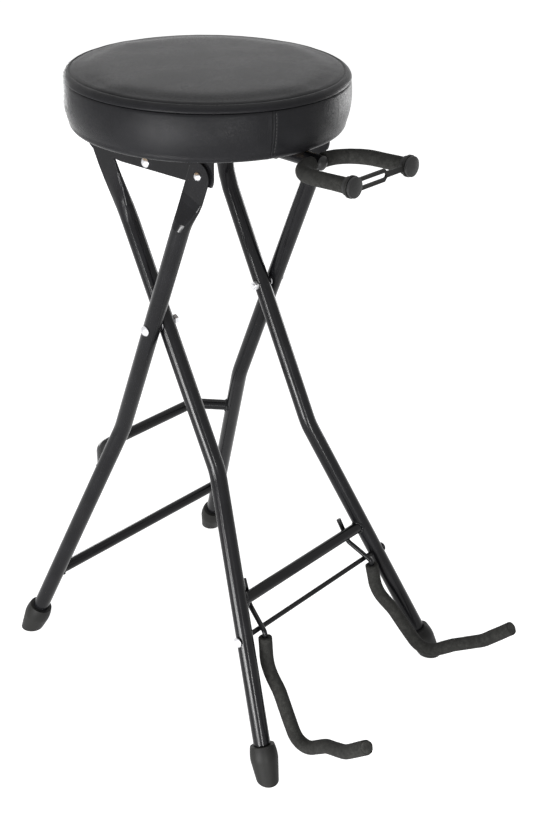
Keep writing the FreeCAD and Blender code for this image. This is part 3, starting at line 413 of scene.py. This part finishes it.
def spun(outline, middle, steps):
    """A closed outline of (radius, height) pairs, spun about an upright axis."""
    bm = bmesh.new()
    ring = [bm.verts.new(middle + Vector((radius, 0, height))) for radius, height in outline]
    edges = [bm.edges.new(pair) for pair in zip(ring, ring[1:] + ring[:1])]
    bmesh.ops.spin(
        bm, geom=ring + edges, cent=middle, axis=UP, angle=FULL_TURN, steps=steps, use_merge=True)
    bmesh.ops.remove_doubles(bm, verts=bm.verts, dist=MERGE_GAP)
    return bm


def arc(first, via, last, count):
    """Points on the circle through three (radius, height) points, without the first."""
    (ax, ay), (bx, by), (cx, cy) = first, via, last
    d = 2 * (ax * (by - cy) + bx * (cy - ay) + cx * (ay - by))
    a2, b2, c2 = ax * ax + ay * ay, bx * bx + by * by, cx * cx + cy * cy
    ux = (a2 * (by - cy) + b2 * (cy - ay) + c2 * (ay - by)) / d
    uy = (a2 * (cx - bx) + b2 * (ax - cx) + c2 * (bx - ax)) / d
    radius = math.hypot(ax - ux, ay - uy)
    start = math.atan2(ay - uy, ax - ux)
    through = (math.atan2(by - uy, bx - ux) - start) % FULL_TURN
    sweep = (math.atan2(cy - uy, cx - ux) - start) % FULL_TURN
    if through > sweep:
        sweep -= FULL_TURN
    turns = [start + sweep * step / count for step in range(1, count + 1)]
    return [(ux + radius * math.cos(turn), uy + radius * math.sin(turn)) for turn in turns]


def hump(at, place, width):
    """A bell curve with a height of 1 at its place."""
    return math.exp(-((at - place) / width) ** 2)


# Upper seam's valley: half its width at the rim and at its floor, and its depth
VALLEY_RIM = 1.1 * MM
VALLEY_FLOOR = 0.3 * MM
VALLEY_DEPTH = 1.4 * MM
# Share of the top panel's radius at which its crown is set
CROWN_SHARE = 0.55
# Filled pad: faces around it, size of its faces, steps of its swelling and the most that its skin may move
PAD_STEPS = 96
PAD_VOXEL = 5 * MM
PAD_FRAMES = 20
MOST_MOVE = 2.5 * MM
# Points of the pad that move a point of a panel, and how far their pull reaches
NEIGHBOURS = 40
PULL_REACH = 10 * MM
# Cuts beside the band's seam in mm, and how far to the sides the seam's lap is cut and pressed
LAP_CUTS = (-6, -3, -1.6, -0.9, -0.45, 0, 0.45, 0.9, 1.6, 2.8, 3.9, 4.6, 5.3, 6.5, 8)
LAP_CUT_REACH = 14 * MM
LAP_REACH = 12 * MM
LAP_EDGE = 0.2
# Stitch: its length and its thickness
STITCH_SIZE = (2.7 * MM, 0.75 * MM, 0.75 * MM)


class STOOL_OT_seat(bpy.types.Operator):
    """Builds the vinyl seat: top panel with its rolled edge, side band and band stitching"""

    bl_idname = "stool.seat"
    bl_label = "Padded seat"

    def execute(self, context):
        sizes = context.scene.stool_seat
        vinyl = vinyl_finish("seat_vinyl", tuple(sizes.vinyl))
        swell = self.swelling(sizes)
        top = self.panel(sizes, swell, "seat_top_panel", self.top_outline(sizes), vinyl)
        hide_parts("seat_top_cover", "seat_foam")
        band = self.panel(sizes, swell, "seat_side_band", self.band_outline(sizes), vinyl, seam=True)
        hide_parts("seat_side_cover")
        dress_nodes(["seat_board"], plywood_finish("plywood", tuple(context.scene.stool_finish.veneer)))
        return {"FINISHED"}

    @staticmethod
    def top_outline(sizes):
        """The top panel's section, outside first and then its lining."""
        outer = sizes.radius
        edge = outer - sizes.roll
        upper = sizes.top - sizes.crown
        middle = sizes.top - sizes.swell
        crown = (edge * CROWN_SHARE, middle - (middle - upper) * CROWN_SHARE ** 2)
        valley = upper - VALLEY_DEPTH
        shoulder = (outer - 0.34 * sizes.roll, upper - 0.3 * sizes.roll)
        skin = [(0, middle)]
        skin += arc(skin[0], crown, (edge - VALLEY_RIM, upper), 22)
        skin += [(edge - VALLEY_FLOOR, valley), (edge + VALLEY_FLOOR, valley)]
        skin.append((edge + VALLEY_RIM, upper - 0.1 * MM))
        skin += arc(skin[-1], shoulder, (outer - 0.2 * MM, sizes.seam + 1.6 * MM), 10)
        skin += [(outer - 0.4 * MM, sizes.seam + 0.7 * MM), (outer - 1.4 * MM, sizes.seam + 0.3 * MM)]
        lining = [
            (outer - 3 * MM, sizes.seam + 1 * MM), (edge - 1 * MM, upper - 3 * MM), (0, middle - 2 * MM)]
        return skin + lining

    @staticmethod
    def band_outline(sizes):
        """The band's section, from the lower seam down and in under the board."""
        outer = sizes.radius
        seam = sizes.seam
        heel = (outer - 4.2 * MM, sizes.base + 6.2 * MM)
        skin = [(outer - 2.2 * MM, seam + 0.2 * MM), (outer - 0.9 * MM, seam - 0.6 * MM)]
        skin += arc(skin[-1], (outer + 0.4 * MM, sizes.base + 29 * MM), heel, 18)
        skin += arc(heel, (outer - 5.7 * MM, sizes.base + 1.8 * MM), (sizes.board, sizes.base), 8)
        skin.append((sizes.board - sizes.tuck, sizes.base))
        lining = [
            (sizes.board - sizes.tuck, sizes.base + 1.1 * MM), (sizes.board, sizes.base + 1.1 * MM),
            (outer - 6 * MM, sizes.base + 7 * MM), (outer - 2 * MM, sizes.base + 29 * MM),
            (outer - 3 * MM, seam - 1 * MM)]
        return skin + lining

    def swelling(self, sizes):
        """Inflates a plain pad as cloth and returns where its skin was and how far it moved."""
        outer = sizes.radius - 1 * MM
        upper = sizes.top - sizes.crown
        outline = [
            (0, sizes.base), (outer - 4 * MM, sizes.base), (outer - 1 * MM, sizes.base + 8 * MM),
            (outer, sizes.seam), (outer - sizes.roll, upper), (0, sizes.top)]
        bm = spun(outline, SEAT_MIDDLE, PAD_STEPS)
        bmesh.ops.recalc_face_normals(bm, faces=bm.faces)
        mesh = bpy.data.meshes.new("pad_blank")
        bm.to_mesh(mesh)
        bm.free()
        blank = add_piece("pad_blank", mesh)
        remesh = blank.modifiers.new("Even", "REMESH")
        remesh.mode = "VOXEL"
        remesh.voxel_size = PAD_VOXEL
        view = bpy.context.evaluated_depsgraph_get()
        even = bpy.data.meshes.new_from_object(blank.evaluated_get(view))
        bpy.data.objects.remove(blank)
        pad = add_piece("pad", even)
        rest = [vertex.co.copy() for vertex in even.vertices]
        moves = [Vector() for place in rest]
        sewn = [
            number for number, place in enumerate(rest)
            if place.z < sizes.base + 7 * MM
            or (abs(place.z - sizes.seam) < 4 * MM and (place - SEAT_MIDDLE).xy.length > outer - 4 * MM)]
        pad.vertex_groups.new(name="sewn").add(sewn, 1.0, "REPLACE")
        cloth = pad.modifiers.new("Filling", "CLOTH")
        cloth.settings.use_pressure = True
        cloth.settings.uniform_pressure_force = sizes.pressure
        cloth.settings.effector_weights.gravity = 0
        cloth.settings.vertex_group_mass = "sewn"
        for number in range(1, PAD_FRAMES + 1):
            bpy.context.scene.frame_set(number)
        view = bpy.context.evaluated_depsgraph_get()
        for number, vertex in enumerate(pad.evaluated_get(view).data.vertices):
            move = vertex.co - rest[number]
            moves[number] = move * min(1, MOST_MOVE / max(move.length, MOST_MOVE))
        bpy.context.scene.frame_set(1)
        bpy.data.objects.remove(pad)
        tree = KDTree(len(rest))
        for number, place in enumerate(rest):
            tree.insert(place, number)
        tree.balance()
        return tree, moves

    def panel(self, sizes, swell, name, outline, vinyl, seam=False):
        """Spins one sewn panel and moves its skin as the pad swelled."""
        tree, moves = swell
        bm = spun(outline, SEAT_MIDDLE, sizes.steps)
        if seam:
            self.cut_seam(sizes, bm)
        for vertex in bm.verts:
            pull = Vector()
            total = 0.0
            for _, number, distance in tree.find_n(vertex.co, NEIGHBOURS):
                weight = hump(distance, 0.0, PULL_REACH) + 1e-6
                pull += moves[number] * weight
                total += weight
            vertex.co += pull / total
        if seam:
            self.press_seam(sizes, bm)
            bm.normal_update()
            self.stitches(sizes, BVHTree.FromBMesh(bm))
        made = finish_piece(name, "seat", vinyl, bm)
        return made

    @staticmethod
    def along_seam(sizes, place):
        """Distance round the band from its seam, to the right of it seen from outside."""
        outward = place - SEAT_MIDDLE
        turn = math.atan2(outward.y, outward.x) - sizes.seam_angle
        return sizes.radius * ((turn + math.pi) % FULL_TURN - math.pi)

    def cut_seam(self, sizes, bm):
        """Cuts the band beside its seam so that the lap can be pressed in."""
        for aside in LAP_CUTS:
            turn = sizes.seam_angle + aside * MM / sizes.radius
            near = [
                face for face in bm.faces
                if abs(self.along_seam(sizes, face.calc_center_median())) < LAP_CUT_REACH]
            edges = {edge for face in near for edge in face.edges}
            verts = {vertex for face in near for vertex in face.verts}
            bmesh.ops.bisect_plane(
                bm, geom=near + list(edges) + list(verts), dist=0.005 * MM, plane_co=SEAT_MIDDLE,
                plane_no=Vector((-math.sin(turn), math.cos(turn), 0)))

    def press_seam(self, sizes, bm):
        """Folds the lap: a groove at the seam, a raised flap beside it and a dip under the stitches."""
        for vertex in bm.verts:
            aside = self.along_seam(sizes, vertex.co) / MM
            if abs(aside) > LAP_REACH / MM:
                continue
            outward = vertex.co - SEAT_MIDDLE
            outward.z = 0
            groove = -1.2 * hump(aside, 0.6, 0.4)
            flap = 0.5 * hump(aside, 0.0, 3.5) if aside < LAP_EDGE else 0.0
            dip = -0.35 * hump(aside, sizes.stitch_aside / MM, 0.7)
            vertex.co += outward.normalized() * ((groove + flap + dip) * MM)

    @staticmethod
    def stitches(sizes, surface):
        """Lays a row of short stitches beside the band's seam."""
        turn = sizes.seam_angle + sizes.stitch_aside / sizes.radius
        outward = Vector((math.cos(turn), math.sin(turn), 0))
        bm = bmesh.new()
        height = sizes.seam - 4 * MM
        while height > sizes.base + 8 * MM:
            start = SEAT_MIDDLE + outward * (sizes.radius + 30 * MM) + UP * height
            place, normal = surface.ray_cast(start, -outward)[:2]
            along = UP.cross(normal).cross(normal).normalized()
            turned = Matrix((along, normal.cross(along), normal)).transposed().to_quaternion()
            bmesh.ops.create_uvsphere(
                bm, u_segments=8, v_segments=6, radius=0.5,
                matrix=Matrix.LocRotScale(place, turned, STITCH_SIZE))
            height -= sizes.stitch_pitch
        thread = thread_finish("stitch_thread", tuple(sizes.thread))
        finish_piece("seat_band_stitches", "seat", thread, bm)


# Which way the last stretch of a cradle arm points, for the right-hand arm
ARM_AHEAD = Vector((6.7, -32.71, 33.52)).normalized()
# Section of the plug in a cradle sleeve's end, as (radius, height) in mm
TIP_OUTLINE = ((0, 1.1), (3, 1.0), (5.4, 0.65), (6.6, 0.2), (6.9, -0.6), (6.9, -2.0), (0, -2.0))
# Foam skin: size of its faces, and its lumps as (width, height in mm)
SLEEVE_VOXEL = 1.2 * MM
LUMPS = ((22 * MM, 0.35), (5 * MM, 0.1))


class STOOL_OT_sleeves(bpy.types.Operator):
    """Builds the foam sleeves of the yoke and the cradle"""

    bl_idname = "stool.sleeves"
    bl_label = "Foam sleeves"

    def execute(self, context):
        foam = foam_finish("sleeve_foam", tuple(context.scene.stool_finish.foam))
        for name in nodes_of_slot("foam_sleeve"):
            self.sleeve(name, foam)
        # Painted highlight: the plugs in the cradle sleeves' ends are the sleeve foam at 1.7 times its colour
        painted_light_tip_foam = foam_finish("sleeve_tip_foam_painted_light", scaled(context.scene.stool_finish.foam, 1.7))
        for hand, side in HANDS:
            ahead = Vector((side * ARM_AHEAD.x, ARM_AHEAD.y, ARM_AHEAD.z))
            self.tip(hand + "_cradle_sleeve", ahead, painted_light_tip_foam)
        return {"FINISHED"}

    @staticmethod
    def tip(name, ahead, foam):
        """Closes a cradle arm's sleeve with a plug of the same foam, given a lighter colour as a painted
        highlight, domed and set in a fine groove.
        """
        places = [vertex.co for vertex in frame["nodes"][name].data.vertices]
        reach = max(place.dot(ahead) for place in places)
        rim = [place for place in places if place.dot(ahead) > reach - 0.2 * MM]
        middle = sum(rim, Vector()) / len(rim)
        turned = UP.rotation_difference(ahead).to_matrix().to_4x4()
        bm = bmesh.new()
        ring = [bm.verts.new((radius * MM, 0, height * MM)) for radius, height in TIP_OUTLINE]
        edges = [bm.edges.new(pair) for pair in zip(ring, ring[1:])]
        bmesh.ops.spin(
            bm, geom=ring + edges, cent=(0, 0, 0), axis=UP, angle=FULL_TURN, steps=40, use_merge=True)
        bmesh.ops.transform(bm, matrix=Matrix.Translation(middle) @ turned, verts=bm.verts)
        made = finish_piece(name + "_tip", body_of_node(name), foam, bm)

    @staticmethod
    def sleeve(name, foam):
        """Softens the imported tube: even faces, rounded ends and a slightly lumpy skin."""
        bm = bmesh.new()
        bm.from_mesh(frame["nodes"][name].data)
        bmesh.ops.remove_doubles(bm, verts=bm.verts, dist=MERGE_GAP)
        mesh = bpy.data.meshes.new(name + "_blank")
        bm.to_mesh(mesh)
        bm.free()
        blank = add_piece(name + "_blank", mesh)
        remesh = blank.modifiers.new("Even", "REMESH")
        remesh.mode = "VOXEL"
        remesh.voxel_size = SLEEVE_VOXEL
        smooth = blank.modifiers.new("Soft", "SMOOTH")
        smooth.factor = 0.5
        smooth.iterations = 4
        view = bpy.context.evaluated_depsgraph_get()
        even = bpy.data.meshes.new_from_object(blank.evaluated_get(view))
        bpy.data.objects.remove(blank)
        bm = bmesh.new()
        bm.from_mesh(even)
        bm.normal_update()
        for vertex in bm.verts:
            lump = sum(noise.noise(vertex.co / width) * height for width, height in LUMPS)
            vertex.co += vertex.normal * (lump * MM)
        made = finish_piece(name + "_foam", body_of_node(name), foam, bm)
        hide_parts(name)


# Weld bead: its radius and the points along it
BEAD_RADIUS = 1.7 * MM
BEAD_POINTS = 48
# Where the footrest's slanted ends start from its middle, and how far they lean
FOOTREST_START = 79 * MM
FOOTREST_LEAN = math.atan2(44.0, 34.7)


class STOOL_OT_welds(bpy.types.Operator):
    """Lays a weld bead where each cross bar meets a leg"""

    bl_idname = "stool.welds"
    bl_label = "Weld beads"

    def execute(self, context):
        coat = coat_finish("weld_coat", tuple(context.scene.stool_finish.coat))
        for bar, legs, lean in (
            ("front_crossbar", "front_%s_leg", 0.0),
            ("rear_crossbar", "rear_%s_leg", 0.0),
            ("footrest_bar", "rear_%s_leg", FOOTREST_LEAN),
        ):
            for hand, side in HANDS:
                self.bead(bar, legs % hand, "%s_%s_weld" % (bar, hand), side, lean, coat)
        return {"FINISHED"}

    @staticmethod
    def bead(bar, leg, name, side, lean, coat):
        """Follows the line in which the bar meets the leg, with the ripple of a hand weld."""
        low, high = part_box(bar)
        radius = (high.z - low.z) / 2
        heading = Vector((side * math.cos(lean), -math.sin(lean), 0))
        across = Vector((heading.y, -heading.x, 0))
        start = Vector((0, high.y - radius, (low.z + high.z) / 2))
        if lean:
            start.x = side * FOOTREST_START
        mesh = frame["nodes"][leg].data
        surface = BVHTree.FromPolygons(
            [vertex.co for vertex in mesh.vertices], [face.vertices for face in mesh.polygons])
        line = bpy.data.curves.new(bar + "_line", "CURVE")
        line.dimensions = "3D"
        line.bevel_depth = BEAD_RADIUS
        line.bevel_resolution = 3
        path = line.splines.new("POLY")
        path.points.add(BEAD_POINTS - 1)
        path.use_cyclic_u = True
        for number in range(BEAD_POINTS):
            turn = FULL_TURN * number / BEAD_POINTS
            rim = start + (across * math.cos(turn) + UP * math.sin(turn)) * (radius + 0.3 * MM)
            place = surface.ray_cast(rim, heading)[0]
            path.points[number].co = (*place, 1)
            path.points[number].radius = 1 + 0.22 * math.sin(9 * turn) + 0.12 * math.sin(4 * turn + side)
        drawn = add_piece(bar + "_line", line)
        view = bpy.context.evaluated_depsgraph_get()
        made = bpy.data.meshes.new_from_object(drawn.evaluated_get(view))
        bpy.data.objects.remove(drawn)
        bm = bmesh.new()
        bm.from_mesh(made)
        finish_piece(name, body_of_node(bar), coat, bm)


class STOOL_OT_hard_finishes(bpy.types.Operator):
    """Gives the tubes, plates, fasteners, feet and moulded pieces their finishes"""

    bl_idname = "stool.hard_finishes"
    bl_label = "Hard finishes"

    def execute(self, context):
        colours = context.scene.stool_finish
        dress_nodes(nodes_of_slot("frame_black"), coat_finish("powder_coat", tuple(colours.coat)))
        dress_nodes(nodes_of_slot("bright_zinc"), zinc_finish("bright_zinc", tuple(colours.zinc)))
        dress_nodes(nodes_of_slot("black_rubber"), rubber_finish("black_rubber", tuple(colours.rubber)))
        dress_nodes(nodes_of_slot("black_plastic"), plastic_finish("black_plastic", tuple(colours.plastic)))
        return {"FINISHED"}


# What the floor adds of its own to look white, and how much of the sky's white lights the stool
FLOOR_GLOW = 0.92
SKY_LIGHT = 0.2
FLOOR_HALF = 14.0
SENSOR_HEIGHT = 24.0
LIGHTS_AIM = Vector((0, 0.08, 0.45))
# Name, place, width, height and watts. The upright ones stay below the seat's top,
# which then mirrors none of them
LIGHTS = (
    ("overhead", (0.0, 0.0, 2.4), 1.6, 1.6, 12),
    ("left_strip", (-2.05, -0.35, 0.38), 0.12, 0.66, 13),
    ("front_strip", (-1.15, -1.75, 0.38), 0.16, 0.66, 20),
    ("low_softbox", (-1.6, -0.2, 0.17), 1.0, 0.28, 26),
    ("right_softbox", (2.1, 0.1, 0.4), 0.7, 0.66, 9),
    ("back_softbox", (0.9, 2.2, 0.4), 0.7, 0.66, 9),
)


class STOOL_OT_stage(bpy.types.Operator):
    """Sets up the floor, the soft lights and the camera"""

    bl_idname = "stool.stage"
    bl_label = "Studio"

    def execute(self, context):
        stage = context.scene.stool_stage
        context.scene.view_settings.view_transform = "Standard"
        self.floor(stage)
        self.world(context.scene)
        self.lights()
        self.camera(context.scene, stage)
        return {"FINISHED"}

    @staticmethod
    def seen_rays(finish):
        """1 for what the camera sees straight, in a mirror or through glass."""
        def ray(word):
            return finish.node("ShaderNodeLightPath", output=word)
        total = ray("Is Camera Ray") + ray("Is Glossy Ray") + ray("Is Transmission Ray")
        return finish.ramp(total, 0.0, 1.0)

    def floor(self, stage):
        bm = bmesh.new()
        bmesh.ops.create_grid(bm, x_segments=2, y_segments=2, size=FLOOR_HALF)
        mesh = bpy.data.meshes.new("floor")
        bm.to_mesh(mesh)
        bm.free()
        finish = Finish("pale_floor")
        lit = finish.node("ShaderNodeBsdfDiffuse", None, {"Color": (*stage.floor, 1)})
        glow = finish.node("ShaderNodeEmission", None, {
            "Color": (1, 1, 1, 1), "Strength": self.seen_rays(finish) * FLOOR_GLOW})
        both = finish.node("ShaderNodeAddShader", None, {0: lit, 1: glow})
        finish.node("ShaderNodeOutputMaterial", None, {"Surface": both})
        mesh.materials.append(finish.material)
        add_piece("floor", mesh)

    def world(self, scene):
        """White to the camera and in reflections, and a plain even light on the object."""
        world = bpy.data.worlds.new("studio")
        world.use_nodes = True
        scene.world = world
        finish = Finish.on_tree(world.node_tree)
        sky = finish.node("ShaderNodeBackground", None, {
            "Color": (1, 1, 1, 1), "Strength": self.seen_rays(finish) * (1 - SKY_LIGHT) + SKY_LIGHT})
        finish.node("ShaderNodeOutputWorld", None, {"Surface": sky})

    @staticmethod
    def lights():
        for name, place, width, height, watts in LIGHTS:
            lamp = bpy.data.lights.new(name, "AREA")
            lamp.shape = "RECTANGLE"
            lamp.size = width
            lamp.size_y = height
            lamp.energy = watts
            made = add_piece(name, lamp)
            made.location = place
            made.visible_camera = False
            made.rotation_euler = (LIGHTS_AIM - Vector(place)).to_track_quat("-Z", "Y").to_euler()

    @staticmethod
    def camera(scene, stage):
        lens = bpy.data.cameras.new("camera")
        lens.sensor_fit = "VERTICAL"
        lens.sensor_height = SENSOR_HEIGHT
        lens.lens = SENSOR_HEIGHT * stage.focal_share
        lens.dof.use_dof = False
        made = add_piece("camera", lens)
        turned = Matrix.Rotation(stage.azimuth, 3, "Z")
        ahead = turned @ Vector((0, math.cos(stage.elevation), -math.sin(stage.elevation)))
        right = turned @ Vector((1, 0, 0))
        above = right.cross(ahead)
        level = Matrix((right, above, -ahead)).transposed()
        made.matrix_world = Matrix.LocRotScale(
            Vector(stage.eye), (level @ Matrix.Rotation(stage.roll, 3, "Z")).to_quaternion(), None)
        scene.camera = made


class STOOL_PT_panel(bpy.types.Panel):
    """Lists the stool's sizes and the steps that build it"""

    bl_idname = "STOOL_PT_panel"
    bl_label = "Folding guitar stool"
    bl_space_type = "VIEW_3D"
    bl_region_type = "UI"
    bl_category = "Stool"

    def draw(self, context):
        for group in (context.scene.stool_seat, context.scene.stool_finish, context.scene.stool_stage):
            box = self.layout.box()
            for key in group.bl_rna.properties.keys():
                if key not in ("rna_type", "name"):
                    box.prop(group, key)
        for operator in OPERATORS:
            self.layout.operator(operator.bl_idname)


GROUPS = {"stool_seat": StoolSeat, "stool_finish": StoolFinish, "stool_stage": StoolStage}
OPERATORS = (STOOL_OT_seat, STOOL_OT_sleeves, STOOL_OT_welds, STOOL_OT_hard_finishes, STOOL_OT_stage)


def register():
    for made in (*GROUPS.values(), *OPERATORS, STOOL_PT_panel):
        bpy.utils.register_class(made)
    for key, group in GROUPS.items():
        setattr(bpy.types.Scene, key, PointerProperty(type=group))


def unregister():
    for key in GROUPS:
        delattr(bpy.types.Scene, key)
    for made in (STOOL_PT_panel, *OPERATORS, *GROUPS.values()):
        bpy.utils.unregister_class(made)


def main():
    register()
    bpy.ops.stool.seat()
    bpy.ops.stool.sleeves()
    bpy.ops.stool.welds()
    bpy.ops.stool.hard_finishes()
    bpy.ops.stool.stage()


if __name__ == "__main__":
    main()
